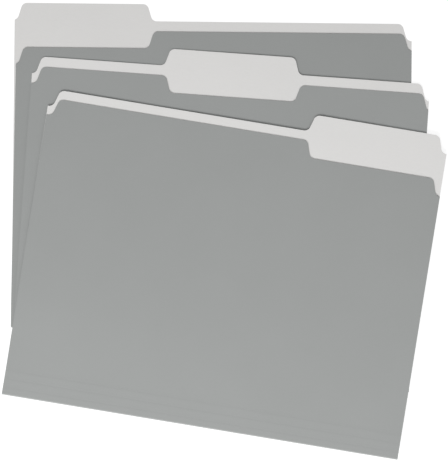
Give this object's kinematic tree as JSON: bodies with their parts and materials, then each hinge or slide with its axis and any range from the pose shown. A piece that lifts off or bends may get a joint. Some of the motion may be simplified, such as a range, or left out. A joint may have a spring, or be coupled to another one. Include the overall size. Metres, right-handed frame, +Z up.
{
  "type": "file folder",
  "caption": "Fanned stack of grey two-tone card file folders with stepped tabs along the top; each cover opens on a rounded bottom fold and spreads at its score lines.",
  "frame": {"origin": "centre of the bottom folder's resting face: half its width along the fold, half its shoulder height above the fold, on the underside of its back leaf", "axes": "+Z up through the stack; +X along the bottom folder's fold, towards the picture's right; +Y from its fold to its tab"},
  "size_m": [0.3266, 0.3351, 0.0085],
  "materials": {
    "grey_card": "smooth matt card, mid grey outside and pale grey inside"
  },
  "bodies": {
    "left_back": {"left_back_leaf": "grey_card", "left_spine_fold": "grey_card"},
    "left_base": {"left_score_strip_1": "grey_card", "left_score_strip_2": "grey_card", "left_score_strip_3": "grey_card"},
    "left_cover": {"left_front_leaf": "grey_card"},
    "centre_back": {"centre_back_leaf": "grey_card", "centre_spine_fold": "grey_card"},
    "centre_base": {"centre_score_strip_1": "grey_card", "centre_score_strip_2": "grey_card", "centre_score_strip_3": "grey_card"},
    "centre_cover": {"centre_front_leaf": "grey_card"},
    "right_back": {"right_back_leaf": "grey_card"},
    "right_spine": {"right_spine_fold": "grey_card"},
    "right_base": {"right_score_strip_1": "grey_card", "right_score_strip_2": "grey_card", "right_score_strip_3": "grey_card"},
    "right_cover": {"right_front_leaf": "grey_card"}
  },
  "joints": [
    {"name": "centre_lift", "type": "slide", "parent": "left_back", "child": "centre_back", "axis": [0, 0, 1], "range_m": [0, 0.4]},
    {"name": "right_lift", "type": "slide", "parent": "centre_back", "child": "right_back", "axis": [0, 0, 1], "range_m": [0, 0.4]},
    {"name": "left_fold", "type": "hinge", "parent": "left_back", "child": "left_base", "pos_m": [0, -0.11322, 0.00216], "axis": [1, 0, 0], "range_deg": [0, 180]},
    {"name": "left_score", "type": "hinge", "parent": "left_base", "child": "left_cover", "pos_m": [0, -0.09565, 0.00188], "axis": [1, 0, 0], "range_deg": [-90, 0]},
    {"name": "centre_fold", "type": "hinge", "parent": "centre_back", "child": "centre_base", "pos_m": [0.00019, -0.14869, 0.00486], "axis": [0.9981, -0.0609, 0.0004], "range_deg": [0, 180]},
    {"name": "centre_score", "type": "hinge", "parent": "centre_base", "child": "centre_cover", "pos_m": [0.00126, -0.13115, 0.00445], "axis": [0.9981, -0.0609, 0.0004], "range_deg": [-90, 0]},
    {"name": "right_open", "type": "hinge", "parent": "right_back", "child": "right_spine", "pos_m": [-0.00673, -0.18459, 0.00602], "axis": [0.9883, -0.1523, 0.0018], "range_deg": [0, 180]},
    {"name": "right_expand", "type": "hinge", "parent": "right_spine", "child": "right_base", "pos_m": [-0.00673, -0.18455, 0.00818], "axis": [0.9883, -0.1523, 0.0018], "range_deg": [0, 90]},
    {"name": "right_score", "type": "hinge", "parent": "right_base", "child": "right_cover", "pos_m": [-0.00405, -0.16719, 0.00765], "axis": [0.9883, -0.1523, 0.0018], "range_deg": [-90, 0]}
  ],
  "couplings": [
    {"joint": "left_fold", "follows": "centre_lift", "rad_per_m": 7.8539},
    {"joint": "left_score", "follows": "centre_lift", "rad_per_m": -3.9269},
    {"joint": "centre_fold", "follows": "right_lift", "rad_per_m": 7.8539},
    {"joint": "centre_score", "follows": "right_lift", "rad_per_m": -3.9269},
    {"joint": "right_score", "follows": "right_expand", "ratio": -1}
  ]
}
